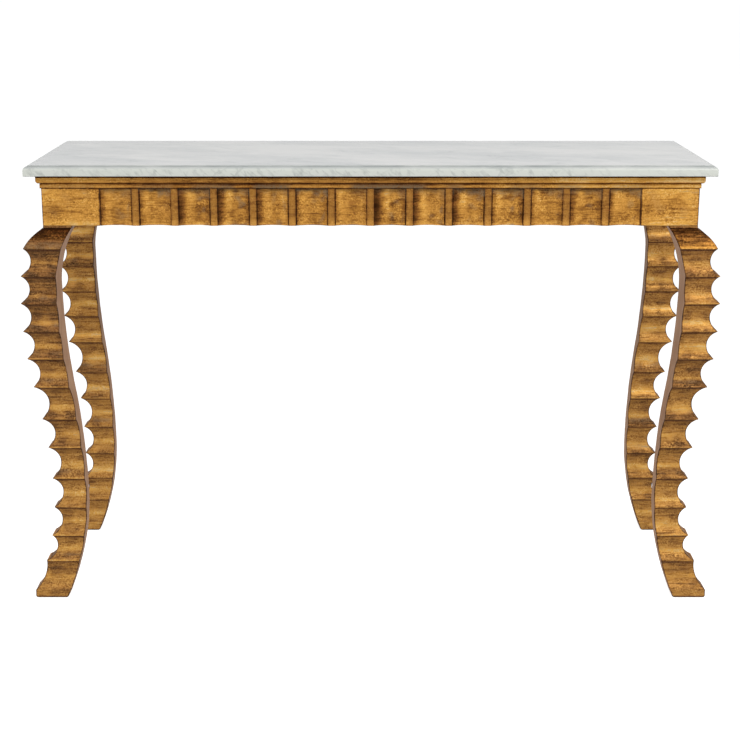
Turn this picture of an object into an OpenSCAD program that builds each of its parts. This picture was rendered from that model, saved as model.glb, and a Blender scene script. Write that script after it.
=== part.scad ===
// Gilded console table: marble slab on a moulded frame, coved frieze and four scalloped
// cabriole legs. Millimetres, +Z up, +X to the right, the front looks along -Y.
// The origin is on the floor, under the middle of the outline.

/* [Marble top] */
// Width of the slab at its widest
top_w = 1372; // [1100:1:1700]
// Depth of the slab at its widest
top_d = 438; // [380:1:520]
// Height of the table
height = 914; // [840:1:960]
// Thickness of the slab
slab_t = 21; // [18:0.5:30]
// Fall of the small step under the top's arris
slab_step = 1.5; // [1:0.1:3]
// Width of the ledge under that step
slab_ledge = 0.8; // [0.4:0.1:1.5]
// Radius of the rounded edge below the ledge
slab_round = 8; // [5:0.5:10]
// Run of the small bevel along the bottom of the edge
slab_bevel = 1.5; // [0.5:0.1:3]

/* [Pads under the slab] */
// Diameter of a pad
pad_dia = 14; // [10:1:20]
// Thickness of a pad, which is the shadow gap under the slab
pad_t = 1.5; // [1:0.1:3]

/* [Moulded frame] */
// How far the frieze is set back from the slab, front and sides
frame_inset = 28.5; // [20:0.5:40]
// How far the frame is set back from the slab at the back
back_inset = 5; // [2:0.5:12]
// How far the fascia stands out of the frieze
fascia_out = 8.5; // [5:0.5:14]
// How far the lower band stands out of the frieze
band_out = 2; // [1:0.5:4]
// Height of the frame members
cornice_h = 25.5; // [22:0.5:34]
// Height of the lower band
band_h = 8; // [5:0.5:10]
// Width of the frame members behind the frieze line
cornice_in = 50; // [40:1:70]

/* [Frieze] */
// Height of the frieze
frieze_h = 76; // [60:1:100]
// Thickness of the frieze rails
rail_t = 30; // [25:1:40]
// Width of a corner block along the front
block_w = 116; // [90:1:140]
// Depth of a corner block along the side
block_d = 94; // [80:1:110]
// Width of one cove
cove_w = 64; // [50:0.5:70]
// Depth of a cove at its middle
cove_deep = 10; // [6:0.5:14]
// Square step at both edges of a cove
cove_step = 1.5; // [0.5:0.1:2.5]
// Coves along the front
front_coves = 14; // [10:1:16]
// Coves along each side
side_coves = 3; // [2:1:3]

/* [Leg sweep to the side] */
// Reach of the first ridge beyond the frieze
shoulder_x = 37.5; // [25:0.5:45]
// Reach of the knee
knee_x = 47; // [30:0.5:55]
// Reach of the ankle
ankle_x = 7; // [-10:0.5:14]
// Reach of the foot
foot_x = 50.5; // [30:0.5:60]
// Leg width at the top
top_thick_x = 60; // [50:1:70]
// Leg width at the knee
knee_thick_x = 72.5; // [60:0.5:80]
// Leg width at the ankle
ankle_thick_x = 67.5; // [54:0.5:74]
// Leg width at the foot
foot_thick_x = 68; // [55:1:76]
// Width of a back leg at the top
rear_top_thick_x = 67; // [58:1:78]
// Width of a back leg at the knee
rear_knee_thick_x = 79; // [66:1:86]

/* [Leg sweep to the front] */
// Reach of the first ridge beyond the frieze
shoulder_y = 25; // [18:0.5:35]
// Reach of the knee
knee_y = 31; // [22:0.5:40]
// Reach of the ankle
ankle_y = 4; // [-8:0.5:10]
// Reach of the foot
foot_y = 34; // [20:0.5:45]
// Leg depth at the top
top_thick_y = 53; // [45:1:60]
// Leg depth at the knee
knee_thick_y = 71; // [55:1:75]
// Leg depth at the ankle
ankle_thick_y = 40; // [36:1:55]
// Leg depth at the foot
foot_thick_y = 40; // [36:1:55]
// Depth of the straight back legs
rear_thick = 40; // [36:1:50]

/* [Leg heights and scallops] */
// How far the knee lies under the frieze
knee_drop = 155; // [130:1:180]
// How far the bend of the inner side lies above the knee
inner_rise = 35; // [0:1:60]
// Height of the ankle
ankle_z = 215; // [180:1:250]
// Height of the square toe
toe_z = 18; // [12:1:24]
// Height of the square pad at the top of the leg
collar_h = 5; // [3:0.5:8]
// How far that pad stands proud of the shoulder
collar_lip = 0.8; // [0.4:0.1:1.5]
// How far the first ridge lies under the frieze
ridge_drop = 42; // [35:1:50]
// Height of the last ridge
last_ridge_z = 79; // [72:1:86]
// Hand-laid steps between the ridges, from the top down, as shares of the whole run
ridge_steps = [55, 56, 58, 58, 61, 71, 63, 69, 64, 61, 53];
// Scallop depth for its length, outer face
scallop_x = 0.285; // [0.2:0.005:0.36]
// Scallop depth for its length, front face
scallop_y = 0.18; // [0.1:0.01:0.24]
// Flat left on each ridge, outer face
ridge_land_x = 1.2; // [0.6:0.1:1.6]
// Flat left on each ridge, front face
ridge_land_y = 2; // [1.8:0.1:3]
// Scoop depth for its length, above the toe
toe_scoop = 0.12; // [0.05:0.01:0.2]
// Bulge for its length, shoulder
shoulder_bulge = 0.085; // [0.05:0.005:0.2]

/* [Joints] */
// Dowel diameter, legs and rails
dowel_dia = 10; // [8:1:12]
// Length of a dowel
dowel_len = 50; // [40:1:60]
// Space between the two dowels of a leg
leg_dowel_gap = 20; // [16:1:26]
// Dowel diameter, moulded frame
small_dowel_dia = 8; // [6:1:10]
// Length of a dowel in the moulded frame
small_dowel_len = 40; // [30:1:50]
// Room round a dowel in its hole
dowel_room = 0.15; // [0.1:0.05:0.3]
// Room past the ends of a dowel
dowel_end = 0.4; // [0.2:0.1:1]
// Thickness of a mitre key
key_t = 4; // [3:0.5:6]
// Length of a mitre key across the joint
key_l = 44; // [30:1:50]
// Width of a mitre key along the joint
key_w = 20; // [14:1:26]
// Width of a cross bearer
bearer_w = 60; // [45:1:80]
// Screw shank diameter
screw_dia = 4.5; // [4:0.5:5]
// Length of a screw
screw_len = 60; // [50:1:70]
// Screw head diameter
screw_head = 9; // [8:0.5:10]
// Screw tip diameter
screw_tip = 1; // [0.5:0.1:2]
// Width and depth of the cross recess
recess_w = 1.2; // [0.8:0.1:1.6]
// Distance of the screws from the frieze line
screw_in = 18; // [16:0.5:24]

/* [Show] */
// Piece to draw

/* [Hidden] */
$fn = 96;
eps = 0.01;
// How far a cutter runs past what it cuts
overrun = 1;
// Shift of the lower leg arcs, so that they cross the upper ones and don't just touch them
hair = 0.02;
// Less sideways sway than this counts as straight
least_sway = 0.05;
// Side facets of the long flat arcs
sweep_fn = 360;

slab_z = height - slab_t;
cornice_top = slab_z - pad_t;
cornice_z = cornice_top - cornice_h;
cornice_mid = cornice_z + cornice_h / 2;
frieze_z = cornice_z - frieze_h;
ovolo = fascia_out - band_out;

half_w = top_w / 2 - frame_inset;
frame_d = top_d - frame_inset - back_inset;
front_reach = max(foot_y, knee_y, shoulder_y, frame_inset);
front_y = front_reach - (front_reach + frame_d + back_inset) / 2;
back_y = front_y + frame_d;

front_rail_l = 2 * (half_w - block_w);
side_rail_l = frame_d - 2 * block_d;
front_fillet = (front_rail_l - front_coves * cove_w) / (front_coves - 1);
side_fillet = (side_rail_l - side_coves * cove_w) / (side_coves - 1);
cove_r = arc_r(cove_deep - cove_step, cove_w / 2);

knee_z = frieze_z - knee_drop;
ridge_z = frieze_z - ridge_drop;
ridge_share = (ridge_z - last_ridge_z) / sum_to(ridge_steps, len(ridge_steps));
ridges = [for (i = [0:len(ridge_steps)]) ridge_z - ridge_share * sum_to(ridge_steps, i)];
bend_z = knee_z + inner_rise;
collar_z = frieze_z - collar_h;

// Sweep lines: reach at the top, knee, ankle and foot, then the heights of top, knee and foot
outer = [shoulder_x, knee_x, ankle_x, foot_x, ridge_z, knee_z, toe_z];
inner = [-top_thick_x, knee_x - knee_thick_x, ankle_x - ankle_thick_x,
         foot_x - foot_thick_x, frieze_z, bend_z, 0];
rear_inner = [-rear_top_thick_x, knee_x - rear_knee_thick_x, ankle_x - ankle_thick_x,
              foot_x - foot_thick_x, frieze_z, bend_z, 0];
fore = [shoulder_y, knee_y, ankle_y, foot_y, ridge_z, knee_z, toe_z];
aft = [-top_thick_y, knee_y - knee_thick_y, ankle_y - ankle_thick_y,
       foot_y - foot_thick_y, frieze_z, knee_z, 0];
rear = [0, 0, 0, 0, ridge_z, knee_z, toe_z];
// More than any leg is wide or deep
deep = rear_top_thick_x + rear_knee_thick_x;

leg_dowel_x = half_w - top_thick_x / 2;
leg_dowel_y = front_y + top_thick_y / 2;
rear_dowel_y = back_y - rear_thick / 2;
// Dowels sit a quarter of the way in from both edges of what they join
rail_dowel_z = frieze_h / 4;
bearer_dowel_x = bearer_w / 4;
end_dowel_y = cornice_in / 4;
// The bearers part the frame into three equal spans
bearer_x = half_w / 3;
key_mid = (cornice_in - fascia_out) / 2;

gilt = [0.70, 0.50, 0.22];
bare = [0.72, 0.58, 0.40];
beech = [0.82, 0.68, 0.48];
stone = [0.84, 0.85, 0.83];
steel = [0.70, 0.70, 0.70];
clear = [0.85, 0.86, 0.84];

// Radius of an arc that moves dx sideways over a run of dz
function arc_r(dx, dz) = (dx * dx + dz * dz) / (2 * max(abs(dx), least_sway));
// Sideways move at dz along that arc, signed like dx
function arc_out(dx, run, dz) =
    abs(dx) < least_sway ? 0
    : let (r = arc_r(dx, run)) sgn(dx) * (r - sqrt(r * r - dz * dz));
function sgn(a) = a < 0 ? -1 : 1;
function sum_to(v, n, i = 0) = i >= n ? 0 : v[i] + sum_to(v, n, i + 1);

function mid_z(c) = (c[5] + ankle_z) / 2;
function top_r(c) = arc_r(c[1] - c[0], c[4] - c[5]);
function shank_r(c) = arc_r((c[1] - c[2]) / 2, c[5] - mid_z(c));
function foot_r(c) = arc_r(c[3] - c[2], ankle_z - c[6]);

// Reach of a sweep line at height z
function reach(c, z) =
    z >= c[5] ? c[1] - arc_out(c[1] - c[0], c[4] - c[5], z - c[5])
    : z >= mid_z(c) ? c[1] - arc_out((c[1] - c[2]) / 2, c[5] - mid_z(c), c[5] - z)
    : z >= ankle_z ? c[2] + arc_out((c[1] - c[2]) / 2, mid_z(c) - ankle_z, z - ankle_z)
    : c[2] + arc_out(c[3] - c[2], ankle_z - c[6], ankle_z - z);

// Circle that cuts a bow of the given depth ratio between two points: [x, z, r]
function bow(p, q, ratio, side) =
    let (c = norm(q - p), s = ratio * c, r = (c * c / 4 + s * s) / (2 * s),
         m = (p + q) / 2, n = [p[1] - q[1], q[0] - p[0]] / c)
    [m[0] + side * n[0] * (r - s), m[1] + side * n[1] * (r - s), r];

// Everything inside an arc that stands upright at (at, z), between two heights
module arc_band(at, z, r, side, z0, z1, far) {
    if (side > 0)
        intersection() {
            translate([at - deep, z0]) square([deep, z1 - z0]);
            translate([at - r, z]) circle(r = r, $fn = sweep_fn);
        }
    else
        difference() {
            translate([at - deep, z0]) square([deep + far, z1 - z0]);
            translate([at + r, z]) circle(r = r, $fn = sweep_fn);
        }
}

// Everything inside a whole sweep line, from below the floor to above the leg
module under(c) {
    arc_band(c[1], c[5], top_r(c), sgn(c[1] - c[0]), c[5], c[4] + overrun, deep);
    arc_band(c[1], c[5], shank_r(c), sgn(c[1] - c[2]), mid_z(c), c[5], deep);
    arc_band(c[2] + hair, ankle_z, shank_r(c), -sgn(c[1] - c[2]), ankle_z, mid_z(c), deep);
    arc_band(c[2] + hair, ankle_z, foot_r(c), -1, c[6] - overrun, ankle_z, deep);
}

// Scallop cutters along a sweep line, laid across the leg
module scallops(c, ratio, land) {
    last = len(ridges) - 1;
    for (i = [0:last - 1])
        scallop(c, ridges[i] - land / 2, ridges[i + 1] + land / 2, ratio);
    scallop(c, ridges[last] - land / 2, toe_z + land / 2, toe_scoop);
}

module scallop(c, z1, z0, ratio) {
    b = bow([reach(c, z1), z1], [reach(c, z0), z0], ratio, 1);
    translate([b[0], 0, b[1]])
        rotate([90, 0, 0]) cylinder(r = b[2], h = 2 * deep, center = true);
}

// Lays a sweep outline across the leg, from z upwards
module across() {
    translate([0, deep, 0]) rotate([90, 0, 0]) linear_extrude(2 * deep) children();
}

// Blank sawn through the ridges of one sweep line, still square at the shoulder
module blank(c) {
    across() polygon(concat(
        [[-deep, frieze_z], [-deep, 0], [c[3], 0], [c[3], toe_z]],
        [for (i = [len(ridges) - 1:-1:0]) [reach(c, ridges[i]), ridges[i]]],
        [[c[0], collar_z], [0, collar_z], [0, frieze_z]]));
}

// What comes off round the convex shoulder, from the square collar to the first ridge
module shoulder_waste(c, land) {
    b = bow([-collar_lip, collar_z], [c[0], ridge_z + land / 2], shoulder_bulge, -1);
    across() difference() {
        translate([-collar_lip - overrun, ridge_z])
            square([c[0] + collar_lip + 2 * overrun, collar_z - ridge_z]);
        translate([b[0], b[1]]) circle(r = b[2]);
    }
}

// What the saw takes off behind a sweep line
module waste(c) {
    across() under(c);
}

// Turns what runs along X so that it runs towards the front
module fronted() {
    rotate([0, 0, -90]) children();
}

// A front leg, with the outer front corner of the frieze as its origin
module front_leg() {
    difference() {
        intersection() {
            blank(outer);
            fronted() blank(fore);
        }
        shoulder_waste(outer, ridge_land_x);
        fronted() shoulder_waste(fore, ridge_land_y);
        waste(inner);
        fronted() waste(aft);
        scallops(outer, scallop_x, ridge_land_x);
        fronted() scallops(fore, scallop_y, ridge_land_y);
    }
}

// A back leg, with the same corner as its origin: straight in depth, flat against the wall
module rear_leg() {
    difference() {
        intersection() {
            blank(outer);
            translate([-deep, 0, 0]) cube([2 * deep, rear_thick, frieze_z]);
        }
        shoulder_waste(outer, ridge_land_x);
        waste(rear_inner);
        scallops(outer, scallop_x, ridge_land_x);
        fronted() scallops(rear, scallop_y, ridge_land_y);
    }
}

// One right-hand leg
module leg(is_rear) {
    color(gilt)
    difference() {
        translate([half_w, is_rear ? back_y - rear_thick : front_y, 0])
            if (is_rear) rear_leg(); else front_leg();
        leg_dowels_at(is_rear ? rear_dowel_y : leg_dowel_y, dowel_room, dowel_end);
    }
}

module leg_dowels_at(y, room, end) {
    for (s = [-1, 1])
        translate([leg_dowel_x + leg_dowel_gap * (1 + s) / 2, y, frieze_z - dowel_len / 2 - end])
            cylinder(d = dowel_dia + 2 * room, h = dowel_len + 2 * end);
}

// Runs its children on the right and mirrored on the left
module both_sides() {
    children();
    mirror([1, 0, 0]) children();
}

module leg_dowels() {
    color(beech) both_sides() {
        leg_dowels_at(leg_dowel_y, 0, 0);
        leg_dowels_at(rear_dowel_y, 0, 0);
    }
}

// Dowels from the rails into one right-hand corner block
module rail_dowels_at(rear_block, room, end) {
    rail_y = rear_block ? back_y - rail_t / 2 : front_y + rail_t / 2;
    side_y = rear_block ? back_y - block_d : front_y + block_d;
    for (s = [-1, 1]) {
        z = frieze_z + frieze_h / 2 + s * rail_dowel_z;
        translate([half_w - block_w - dowel_len / 2 - end, rail_y, z])
            rotate([0, 90, 0]) cylinder(d = dowel_dia + 2 * room, h = dowel_len + 2 * end);
        translate([half_w - rail_t / 2, side_y - dowel_len / 2 - end, z + s * dowel_dia])
            rotate([-90, 0, 0]) cylinder(d = dowel_dia + 2 * room, h = dowel_len + 2 * end);
    }
}

module rail_dowels() {
    color(beech) both_sides() {
        rail_dowels_at(false, 0, 0);
        rail_dowels_at(true, 0, 0);
    }
}

// One right-hand corner block
module block(rear_block) {
    color(gilt)
    difference() {
        translate([half_w - block_w, rear_block ? back_y - block_d : front_y, frieze_z])
            cube([block_w, block_d, frieze_h]);
        rail_dowels_at(rear_block, dowel_room, dowel_end);
        leg_dowels_at(rear_block ? rear_dowel_y : leg_dowel_y, dowel_room, dowel_end);
        screws(dowel_room);
    }
}

// Coves side by side along X, cut into a face that looks along -Y
module coves(count, fillet) {
    pitch = cove_w + fillet;
    for (i = [0:count - 1])
        translate([(i - (count - 1) / 2) * pitch, 0, 0]) {
            translate([-cove_w / 2, -cove_step, -eps])
                cube([cove_w, 2 * cove_step, frieze_h + 2 * eps]);
            translate([0, cove_deep - cove_r, -eps])
                cylinder(r = cove_r, h = frieze_h + 2 * eps);
        }
}

module frieze_front() {
    color(gilt)
    difference() {
        translate([-front_rail_l / 2, front_y, frieze_z]) cube([front_rail_l, rail_t, frieze_h]);
        translate([0, front_y, frieze_z]) coves(front_coves, front_fillet);
        both_sides() rail_dowels_at(false, dowel_room, dowel_end);
        screws(dowel_room);
    }
}

module frieze_back() {
    color(bare)
    difference() {
        translate([-front_rail_l / 2, back_y - rail_t, frieze_z]) cube([front_rail_l, rail_t, frieze_h]);
        both_sides() rail_dowels_at(true, dowel_room, dowel_end);
        screws(dowel_room);
    }
}

module frieze_right() {
    color(gilt)
    difference() {
        translate([half_w - rail_t, front_y + block_d, frieze_z]) cube([rail_t, side_rail_l, frieze_h]);
        translate([half_w, (front_y + back_y) / 2, frieze_z])
            rotate([0, 0, 90]) coves(side_coves, side_fillet);
        rail_dowels_at(false, dowel_room, dowel_end);
        rail_dowels_at(true, dowel_room, dowel_end);
    }
}

// Section of the moulding: fascia, rounded underside, then the lower band
module moulding() {
    translate([0, band_h + ovolo]) square([fascia_out + cornice_in, cornice_h - band_h - ovolo]);
    translate([ovolo, 0]) square([band_out + cornice_in, band_h + ovolo + eps]);
    intersection() {
        translate([0, band_h]) square([ovolo + eps, ovolo + eps]);
        translate([ovolo, band_h + ovolo]) circle(r = ovolo);
    }
}

module cornice_front() {
    w = half_w + fascia_out;
    d = fascia_out + cornice_in;
    color(gilt)
    difference() {
        intersection() {
            translate([-w, front_y - fascia_out, cornice_z])
                rotate([90, 0, 90]) linear_extrude(2 * w) moulding();
            translate([0, front_y - fascia_out, cornice_z])
                linear_extrude(cornice_h) polygon([[-w, 0], [w, 0], [w - d, d], [d - w, d]]);
        }
        both_sides() mitre_key(dowel_room, dowel_end);
        both_sides() bearer_dowels(dowel_room, dowel_end);
        screws(dowel_room);
    }
}

module cornice_right() {
    w = half_w + fascia_out;
    d = fascia_out + cornice_in;
    y0 = front_y - fascia_out;
    color(gilt)
    difference() {
        intersection() {
            translate([w, y0, cornice_z])
                rotate([90, 0, 180]) linear_extrude(back_y - y0) moulding();
            translate([0, 0, cornice_z])
                linear_extrude(cornice_h) polygon([[w, y0], [w, back_y], [w - d, back_y], [w - d, y0 + d]]);
        }
        mitre_key(dowel_room, dowel_end);
        end_dowels(dowel_room, dowel_end);
        screws(dowel_room);
    }
}

module cornice_back() {
    w = half_w - cornice_in;
    color(bare)
    difference() {
        translate([-w, back_y - cornice_in, cornice_z]) cube([2 * w, cornice_in, cornice_h]);
        both_sides() {
            end_dowels(dowel_room, dowel_end);
            bearer_dowels(dowel_room, dowel_end);
        }
        screws(dowel_room);
    }
}

// One right-hand cross bearer, flush with the frame members
module bearer_right() {
    color(bare)
    difference() {
        translate([bearer_x - bearer_w / 2, front_y + cornice_in, cornice_z])
            cube([bearer_w, frame_d - 2 * cornice_in, cornice_h]);
        bearer_dowels(dowel_room, dowel_end);
    }
}

// Flat key across one front mitre
module mitre_key(room, end) {
    translate([half_w - key_mid, front_y + key_mid, cornice_mid])
        rotate([0, 0, 45])
            cube([key_l + 2 * end, key_w + 2 * end, key_t + 2 * room], center = true);
}

module mitre_keys() {
    color(beech) both_sides() mitre_key(0, 0);
}

// Dowels at both ends of one bearer
module bearer_dowels(room, end) {
    for (y = [front_y + cornice_in, back_y - cornice_in], s = [-1, 1])
        translate([bearer_x + s * bearer_dowel_x, y - small_dowel_len / 2 - end, cornice_mid])
            rotate([-90, 0, 0]) cylinder(d = small_dowel_dia + 2 * room, h = small_dowel_len + 2 * end);
}

// Dowels between the back member and one side member
module end_dowels(room, end) {
    for (s = [-1, 1])
        translate([half_w - cornice_in - small_dowel_len / 2 - end,
                   back_y - cornice_in / 2 + s * end_dowel_y, cornice_mid])
            rotate([0, 90, 0]) cylinder(d = small_dowel_dia + 2 * room, h = small_dowel_len + 2 * end);
}

module frame_dowels() {
    color(beech) both_sides() {
        bearer_dowels(0, 0);
        end_dowels(0, 0);
    }
}

// Countersunk screws down through the frame into the frieze
module screws(room = 0) {
    sink = (screw_head - screw_dia) / 2;
    shank = screw_dia + 2 * room;
    tip_z = -screw_len - room;
    for (x = [half_w - block_w / 2, front_rail_l / 4], sx = [-1, 1],
         y = [front_y + screw_in, back_y - screw_in])
        translate([sx * x, y, cornice_top])
            difference() {
                union() {
                    translate([0, 0, tip_z]) cylinder(d1 = screw_tip, d2 = shank, h = screw_dia);
                    translate([0, 0, tip_z + screw_dia]) cylinder(d = shank, h = -tip_z - screw_dia);
                    translate([0, 0, -sink]) cylinder(d1 = shank, d2 = screw_head + 2 * room, h = sink);
                }
                if (room == 0)
                    for (a = [0, 90])
                        rotate([0, 0, a]) translate([-screw_dia / 2, -recess_w / 2, -recess_w])
                            cube([screw_dia, recess_w, 2 * recess_w]);
            }
}

module cornice_screws() {
    color(steel) screws();
}

// Clear pads that carry the slab
module slab_pads() {
    color(clear) both_sides() {
        for (y = [front_y + key_mid, back_y - cornice_in / 2], x = [half_w - key_mid, bearer_x])
            translate([x, y, cornice_top]) cylinder(d = pad_dia, h = pad_t);
        translate([bearer_x, (front_y + back_y) / 2, cornice_top]) cylinder(d = pad_dia, h = pad_t);
    }
}

// Edge section of the slab, the same on all four sides
module slab_section(w) {
    shelf = slab_t - slab_step;
    arris = slab_round + slab_ledge;
    difference() {
        union() {
            translate([arris - w / 2, 0]) square([w - 2 * arris, slab_t]);
            translate([slab_round - w / 2, 0]) square([w - 2 * slab_round, shelf]);
            translate([-w / 2, 0]) square([w, shelf - slab_round]);
            for (s = [-1, 1])
                translate([s * (w / 2 - slab_round), shelf - slab_round]) circle(r = slab_round);
        }
        for (s = [-1, 1])
            translate([s * w / 2, 0])
                polygon([[-s * slab_bevel, -eps], [s * eps, -eps], [s * eps, slab_bevel]]);
    }
}

module marble_top() {
    y_mid = front_y - frame_inset + top_d / 2;
    color(stone)
    translate([0, y_mid, slab_z])
    intersection() {
        translate([0, top_d / 2, 0]) rotate([90, 0, 0]) linear_extrude(top_d) slab_section(top_w);
        translate([-top_w / 2, 0, 0]) rotate([90, 0, 90]) linear_extrude(top_w) slab_section(top_d);
    }
}

marble_top();
slab_pads();
cornice_front();
mirror([1, 0, 0]) cornice_right();  // cornice_left
cornice_right();
cornice_back();
mirror([1, 0, 0]) bearer_right();  // bearer_left
bearer_right();
mitre_keys();
frame_dowels();
cornice_screws();
frieze_front();
mirror([1, 0, 0]) frieze_right();  // frieze_left
frieze_right();
frieze_back();
mirror([1, 0, 0]) block(false);  // block_front_left
block(false);  // block_front_right
mirror([1, 0, 0]) block(true);  // block_back_left
block(true);  // block_back_right
rail_dowels();
mirror([1, 0, 0]) leg(false);  // leg_front_left
leg(false);  // leg_front_right
mirror([1, 0, 0]) leg(true);  // leg_back_left
leg(true);  // leg_back_right
leg_dowels();
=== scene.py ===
# Console table: a marble slab on a gilded, carved frame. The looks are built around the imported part.
import math

import bpy
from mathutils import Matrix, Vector, noise


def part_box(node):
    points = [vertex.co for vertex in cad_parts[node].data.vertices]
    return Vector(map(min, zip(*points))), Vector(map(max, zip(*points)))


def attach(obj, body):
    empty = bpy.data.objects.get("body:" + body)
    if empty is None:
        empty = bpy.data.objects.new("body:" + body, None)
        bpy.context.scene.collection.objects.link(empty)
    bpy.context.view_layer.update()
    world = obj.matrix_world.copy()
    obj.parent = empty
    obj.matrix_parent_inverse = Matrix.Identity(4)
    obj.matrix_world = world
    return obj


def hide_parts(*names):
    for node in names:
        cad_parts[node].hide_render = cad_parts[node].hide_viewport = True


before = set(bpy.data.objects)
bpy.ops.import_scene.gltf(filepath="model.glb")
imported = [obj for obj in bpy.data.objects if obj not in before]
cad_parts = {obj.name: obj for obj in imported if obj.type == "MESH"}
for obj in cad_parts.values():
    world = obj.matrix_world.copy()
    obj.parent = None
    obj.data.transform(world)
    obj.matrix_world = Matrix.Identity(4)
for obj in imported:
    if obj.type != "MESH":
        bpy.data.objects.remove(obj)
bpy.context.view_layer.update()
mm = 0.001
print("frame loaded:", len(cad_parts), "nodes")


# Shared helpers

def clamp(value, low=0.0, high=1.0):
    return max(low, min(high, value))


def smoothStep(low, high, value):
    t = clamp((value - low) / (high - low))
    return t * t * (3 - 2 * t)


# The same step from 1 down to 0
def fall(low, high, value):
    return 1 - smoothStep(low, high, value)


# Soft bump of height 1 at one place
def bell(place, at, wide):
    return math.exp(-((place - at) / wide) ** 2)


# Corners of a CAD node in millimetres
def nodeBox(node):
    low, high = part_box(node)
    return low / mm, high / mm


# Soft noise from 0 to 1 at a point in millimetres, with spots about sizeMm across
def blotch(point, sizeMm, seed=0):
    return clamp(0.5 + 0.75 * noise.noise(Vector(point) / sizeMm + Vector((seed * 7.3, seed * 3.1, seed))))


# Fixed pick from 0 to 1 for one carved hollow
def pick(seed):
    return math.sin(seed * 12.9898 + 4.1) * 43758.5453 % 1


# Depth that a hand tool took off: long shallow hollows and short chatter
def toolMarks(point, deepMm):
    return deepMm * (0.7 * blotch(point, 34, 1) + 0.3 * blotch(point, 9, 2))


# Skin of quads over closed rings of equal length, with a face at each end
def loft(rings):
    count = len(rings[0])
    verts = [p for ring in rings for p in ring]
    faces = [(r * count + i, r * count + (i + 1) % count, (r + 1) * count + (i + 1) % count, (r + 1) * count + i)
             for r in range(len(rings) - 1) for i in range(count)]
    faces.append(tuple(reversed(range(count))))
    faces.append(tuple(range(len(verts) - count, len(verts))))
    return verts, faces


# Ring round a box section with eased corners: sides in the order right, back, left, front.
# A second point lies a rim inside each corner, so that what marks the arris stays a thin line
def boxRing(x0, x1, y0, y1, z, ease, rim, alongX, alongY):
    ring = []
    corners = [(x1, y0), (x1, y1), (x0, y1), (x0, y0)]
    for k, count in enumerate((alongY, alongX, alongY, alongX)):
        a, b = Vector(corners[k]), Vector(corners[(k + 1) % 4])
        length = (b - a).length
        run = (b - a).normalized()
        turn = Vector((-run.y, run.x))
        inner = [ease + rim + (length - 2 * ease - 2 * rim) * i / count for i in range(count + 1)]
        for t in [ease] + inner + [length - ease]:
            p = a + run * t
            ring.append((p.x, p.y, z))
        p = b + (turn - run) * ease + (run - turn) * (ease * math.sqrt(0.5))
        ring.append((p.x, p.y, z))
    return ring


def makePiece(name, nodes, verts, faces, materials, faceSlots=None, marks=None, carve=None, sharpDeg=32):
    mesh = bpy.data.meshes.new(name)
    mesh.from_pydata([Vector(v) * mm for v in verts], [], faces)
    for material in materials:
        mesh.materials.append(material)
    if faceSlots:
        mesh.polygons.foreach_set("material_index", faceSlots)
    for key, values in (marks or {}).items():
        mesh.attributes.new(key, "FLOAT", "POINT").data.foreach_set("value", values)
    obj = bpy.data.objects.new(name, mesh)
    bpy.context.scene.collection.objects.link(obj)
    bpy.context.view_layer.objects.active = obj
    bpy.ops.object.mode_set(mode="EDIT")
    bpy.ops.mesh.select_all(action="SELECT")
    bpy.ops.mesh.normals_make_consistent(inside=False)
    bpy.ops.object.mode_set(mode="OBJECT")
    if carve:
        normals = [v.normal.copy() for v in mesh.vertices]
        for v, n in zip(mesh.vertices, normals):
            v.co -= n * (carve(v.co / mm) * mm)
    mesh.shade_smooth()
    mesh.set_sharp_from_angle(angle=math.radians(sharpDeg))
    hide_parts(*nodes)
    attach(obj, "root")
    return obj


# Node helpers. Those that shape a value or a colour take sockets or plain values and give a socket

def linearColour(hexCode):
    channels = [int(hexCode[i:i + 2], 16) / 255 for i in (1, 3, 5)]
    return [c / 12.92 if c <= 0.04045 else ((c + 0.055) / 1.055) ** 2.4 for c in channels] + [1.0]


def addNode(tree, kind, inputs=None, **settings):
    node = tree.nodes.new(kind)
    for name, value in settings.items():
        setattr(node, name, value)
    for name, value in (inputs or {}).items():
        if isinstance(value, bpy.types.NodeSocket):
            tree.links.new(value, node.inputs[name])
        else:
            node.inputs[name].default_value = value
    return node


def startTree(name):
    material = bpy.data.materials.new(name)
    material.use_nodes = True
    material.node_tree.nodes.clear()
    return material, material.node_tree


def startMaterial(name):
    material, tree = startTree(name)
    return material, tree, addNode(tree, "ShaderNodeTexCoord").outputs["Object"]


def endMaterial(tree, inputs):
    shader = addNode(tree, "ShaderNodeBsdfPrincipled", inputs)
    addNode(tree, "ShaderNodeOutputMaterial", {"Surface": shader.outputs[0]})


def calc(tree, operation, *values):
    return addNode(tree, "ShaderNodeMath", dict(enumerate(values)), operation=operation).outputs[0]


# first plus a share of second
def sumOf(tree, first, second, share):
    return calc(tree, "MULTIPLY_ADD", second, share, first)


def remap(tree, value, low, high, toLow=0.0, toHigh=1.0):
    return addNode(tree, "ShaderNodeMapRange", {"Value": value, "From Min": low, "From Max": high, "To Min": toLow,
                                                "To Max": toHigh}).outputs[0]


def blend(tree, share, first, second):
    first, second = (linearColour(c) if isinstance(c, str) else c for c in (first, second))
    return addNode(tree, "ShaderNodeMix", {0: share, 6: first, 7: second}, data_type="RGBA").outputs[2]


def grain(tree, space, sizeMm, detail, roughness=0.5, distortion=0.0, output="Fac"):
    return addNode(tree, "ShaderNodeTexNoise", {"Vector": space, "Scale": 1000 / sizeMm, "Detail": detail,
                                                "Roughness": roughness, "Distortion": distortion}).outputs[output]


def scaled(tree, space, scale):
    return addNode(tree, "ShaderNodeMapping", {"Vector": space, "Scale": scale}).outputs[0]


# Turned first and then drawn out
def drawnOut(tree, space, turn, stretch):
    return addNode(tree, "ShaderNodeMapping", {"Vector": space, "Rotation": turn, "Scale": stretch},
                   vector_type="TEXTURE").outputs[0]


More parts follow.
